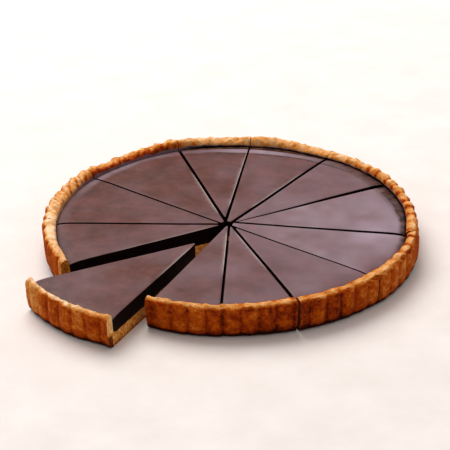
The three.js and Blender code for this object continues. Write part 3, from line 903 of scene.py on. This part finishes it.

# The ring where the surface sinks towards the crust: at each angle, the radius where it starts, and
# how dark its painted shade and how pale its painted reflection of the room are there
RING = (
    (0, 123.5, 0.94, 0), (20, 120.5, 0.9, 0), (35, 121.0, 0.72, 0.2), (50, 119.0, 0.5, 0.4),
    (62, 117.0, 0.26, 0.6), (75, 115.0, 0.1, 0.75), (87, 114.5, 0.1, 0.7), (95, 116.5, 0.25, 0.5),
    (105, 119.0, 0.3, 0.3), (118, 120.0, 0.3, 0.4), (132, 119.5, 0.34, 0.6), (148, 119.5, 0.36, 0.6),
    (160, 119.0, 0.45, 0.25), (200, 119.0, 0.4, 0.16), (240, 121.0, 0.25, 0.16),
    (330, 128.0, 0.5, 0), (348, 124.5, 0.94, 0), (360, 123.5, 0.94, 0),
)
START, DARK, PALE = 1, 2, 3  # its columns
RING_WAVER = 1.0  # how far its start wavers
# Over how many millimetres it comes in, how patchy it is, and how strong a line of painted shade its
# start is
RING_FADE = (
    (0, 2.5), (62, 2.0), (100, 2.0), (125, 5.0), (155, 5.0), (170, 8.0), (250, 8.0), (340, 3.0),
    (360, 2.5),
)
RING_PATCHINESS = (
    (0, 0.5), (20, 0.4), (50, 0.3), (100, 0.3), (120, 0.8), (155, 0.8), (170, 0.3), (345, 0.3),
    (360, 0.5),
)
RING_LINE = ((0, 0.1), (25, 0.5), (60, 0.8), (100, 0.6), (110, 0), (360, 0))
RING_LINE_SPREAD = 1.8  # in square mm
# Where the painted shade of the crevice beside the crust starts, and how dark it is
CREVICE_START = (
    (0, 127.6), (50, 126.0), (65, 122.6), (90, 122.2), (98, 123.6), (108, 127.0), (360, 127.6),
)
CREVICE_DARK = (
    (0, 1.0), (15, 0.85), (50, 0.85), (65, 1.0), (100, 1.0), (130, 0.3), (330, 0.3), (345, 1.0),
    (360, 1.0),
)
CREVICE_FADE = 1.4


def ring_look(points):
    """How much painted shade and how much painted reflection the filling has at its points, from 0 to
    1.
    """
    radius = np.hypot(points[:, 0], points[:, 1])
    angle = np.arctan2(points[:, 1], points[:, 0])
    start = by_angle(RING, angle, START) + RING_WAVER * noise(points, size=9.0, seed=42)[:, 0]
    patchy = 1 + by_angle(RING_PATCHINESS, angle) * noise(points, size=5.0, seed=43)[:, 1]
    within = rising(radius, start, by_angle(RING_FADE, angle)) * patchy
    line = by_angle(RING_LINE, angle) * np.exp(-((radius - start) ** 2) / RING_LINE_SPREAD)
    crevice = rising(radius, by_angle(CREVICE_START, angle), CREVICE_FADE)
    crevice = crevice * by_angle(CREVICE_DARK, angle)
    dark = np.maximum.reduce((within * by_angle(RING, angle, DARK), line, crevice))
    return np.clip(dark, 0, 1), within * by_angle(RING, angle, PALE) * (1 - crevice)


# The pale painted highlights along one side of some cuts, where the rounded edge catches the light:
# the slice, which of its faces, the distances from its tip between which it runs, and how pale it is
BURRS = (
    (1, 1, 2, 62, 0.6), (2, 1, 8, 78, 0.95), (3, 1, 8, 76, 0.95), (8, 0, 25, 105, 0.55),
    (9, 0, 15, 118, 0.7), (10, 0, 12, 92, 0.9), (12, 1, 2, 90, 0.35), (6, 0, 30, 75, 0.3),
)
BURR_WIDTH = 0.9
BURR_RISE = 8  # over how many millimetres it comes in, and fades out
BURR_FADE = 20
BURR_SPREAD = 0.2  # how uneven it is


def burr_at(piece, points):
    """How far the painted edge highlight shows at the points of a slice, from 0 to 1."""
    most = np.zeros(len(points))
    for number, side, start, end, amount in BURRS:
        if number == piece.number:
            face = piece.faces[side]
            along = (points[:, :2] - face.start) @ face.along
            ends = rising(along, start, BURR_RISE) * rising(end, along, BURR_FADE)
            near = np.clip(1 - face.depth_of(points) / BURR_WIDTH, 0, 1)
            uneven = 1 - BURR_SPREAD + BURR_SPREAD * noise(points, size=6.0, seed=44)[:, 0]
            most = np.maximum(most, amount * ends * (near * uneven))
    return most


# The bloom's haze in thin clouds everywhere, and over it a painted sheen of reflected light: more to
# the right and less at the back, a little more on some slices, and thickest towards the rim of the two
# slices at the right
HAZE = 0.05
HAZE_CLOUDS = 0.1
SMALL_CLOUDS = 0.5
HAZE_RIGHTWARD = 0.1
RIGHTWARD_SPAN = (-60, 120)
HAZE_BACKWARD = -0.08
BACKWARD_SPAN = (0, 100)
HAZE_OF_SLICE = {2: 0.07, 3: 0.08, 4: 0.09, 5: 0.1, 6: 0.04, 7: 0.15}
HAZIEST = (5, 6)
HAZIEST_CLOUDS = 0.14
HAZIEST_FAR_RIGHT = 0.5
FAR_RIGHT_SPAN = (20, 110)
FAR_RIGHT_DEPTH = 90  # how far it reaches to the front and back, and how far in full
FAR_RIGHT_EXCESS = 1.2


def haze_at(number, points):
    """How thick the bloom and its painted sheen are at the points of a slice, about 0 for none to 1."""
    across, back = points[:, 0], points[:, 1]
    small = noise(points, size=9.0, seed=45)[:, 0]
    clouds = noise(points, size=26.0, seed=41)[:, 0] + SMALL_CLOUDS * small
    haze = HAZE + HAZE_RIGHTWARD * rising(across, *RIGHTWARD_SPAN) + HAZE_CLOUDS * clouds
    haze += HAZE_BACKWARD * rising(back, *BACKWARD_SPAN) + HAZE_OF_SLICE.get(number, 0)
    if number in HAZIEST:
        middle = np.clip(FAR_RIGHT_EXCESS - np.abs(back) / FAR_RIGHT_DEPTH, 0, 1)
        haze += HAZIEST_FAR_RIGHT * rising(across, *FAR_RIGHT_SPAN) * middle + HAZIEST_CLOUDS * clouds
    return haze


def make_ganache(piece):
    """A slice's piece of the filling."""
    grid = sector(ganache_section, ganache_surface, piece.faces, GANACHE_STEP)
    low, seed = BASE_THICKNESS + SEAM, 500 + 10 * piece.number
    roof = (GANACHE_TOP_STEP, piece.number, GANACHE_EDGING)
    parts = slice_shell(piece.faces, grid, low, GANACHE_LEVEL, GANACHE_STEP, seed, roof, SKIN)
    points, faces, finishes, _ = joined(parts)
    upper = points[:, 2] > GANACHE_LEVEL - TOP_DEPTH
    points[upper, 2] += ganache_swell(points[upper])
    for face in piece.faces:
        depth = face.depth_of(points)
        near = upper & (depth < BLADE_DIP_WIDTH)
        points[near, 2] -= BLADE_DIP * (1 - np.clip(depth[near] / BLADE_DIP_WIDTH, 0, 1)) ** 2
    dark, pale = ring_look(points)
    # The bloom layer also carries the painted sheen and the ring's painted reflection
    haze = np.clip(np.maximum(haze_at(piece.number, points), pale), 0, 1)
    name = f"ganache_{piece.number:02d}"
    materials = (ganache_skin, ganache_cut)
    ganache = new_piece(f"{name}_set", piece.placed(points), faces, finishes, materials)
    mark(ganache, bloom=haze, shade=dark, burr=burr_at(piece, points) * upper)
    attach(ganache, "root")
    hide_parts(name)


ganache_section = smooth_section(GANACHE_SECTION, GANACHE_SECTION_STEP)
for piece in slices:
    make_ganache(piece)

# ------------------------------
# The studio: a plain pale tabletop that runs back out of sight, under soft daylight from the back
# left, so that the front of the tart is in its own shade. Lengths here are metres.
TABLE_HALF = 3.0
TABLE_CORNERS = [(x * TABLE_HALF, y * TABLE_HALF, 0) for x, y in ((-1, -1), (1, -1), (1, 1), (-1, 1))]
CLOUDING_SIZE = 40.0 * MM
table_mesh = bpy.data.meshes.new("tabletop")
table_mesh.from_pydata(TABLE_CORNERS, [], [(0, 1, 2, 3)])
# Painted board: a satin paint, rolled on, that shows only the faintest clouding
painted, tree, place = begin_material("painted_tabletop")
clouding = put(tree, "ShaderNodeTexNoise", {"Vector": place, "Scale": 1 / CLOUDING_SIZE, **CLOUDY})
paint = put(tree, "ShaderNodeValToRGB", {0: clouding}, ((0.3, "#e3ddda"), (0.7, "#ebe6e4")))
shader = put(tree, "ShaderNodeBsdfPrincipled", {
    "Base Color": paint, "Roughness": 0.7, "Specular IOR Level": 0.2,
})
put(tree, "ShaderNodeOutputMaterial", {"Surface": shader})
table_mesh.materials.append(painted)
table = bpy.data.objects.new("tabletop", table_mesh)
bpy.context.scene.collection.objects.link(table)

# A wide window, high up behind the tart and a little to its left
WINDOW_TURN = math.radians(116)
WINDOW_RISE = math.radians(55)
WINDOW_DISTANCE = 2.2
WINDOW_WIDTH = 1.9
WINDOW_WATTS = 45
toward_window = Vector((
    math.cos(WINDOW_TURN) * math.cos(WINDOW_RISE), math.sin(WINDOW_TURN) * math.cos(WINDOW_RISE),
    math.sin(WINDOW_RISE),
))
light = bpy.data.lights.new("window_light", "AREA")
light.shape = "DISK"
light.size = WINDOW_WIDTH
light.energy = WINDOW_WATTS
light.color = colour("#fff9f3")[:3]
window = bpy.data.objects.new("window_light", light)
window.location = AXIS + WINDOW_DISTANCE * toward_window
window.rotation_euler = (-toward_window).to_track_quat("-Z", "Y").to_euler()
bpy.context.scene.collection.objects.link(window)

# The room: white towards the window, and a warm grey on its far side
BRIGHTEST = (-0.35, 0.79, 0.5)
ROOM_STRENGTH = 0.9
world = bpy.data.worlds.new("daylight_room")
world.use_nodes = True
tree = world.node_tree
tree.nodes.clear()
ray = put(tree, "ShaderNodeTexCoord").outputs["Generated"]
facing = put(tree, "ShaderNodeVectorMath", {0: ray, 1: BRIGHTEST}, operation="DOT_PRODUCT")
facing = put(tree, "ShaderNodeMapRange", {"Value": facing.outputs["Value"], 1: -1.0, 2: 1.0})
walls = put(tree, "ShaderNodeValToRGB", {0: facing}, (
    (0.0, "#a89a90"), (0.4, "#bcb2aa"), (0.7, "#dedad8"), (1.0, "#ffffff"),
))
background = put(tree, "ShaderNodeBackground", {"Color": walls, "Strength": ROOM_STRENGTH})
put(tree, "ShaderNodeOutputWorld", {"Surface": background})
bpy.context.scene.world = world
bpy.context.scene.view_settings.view_transform = "Standard"
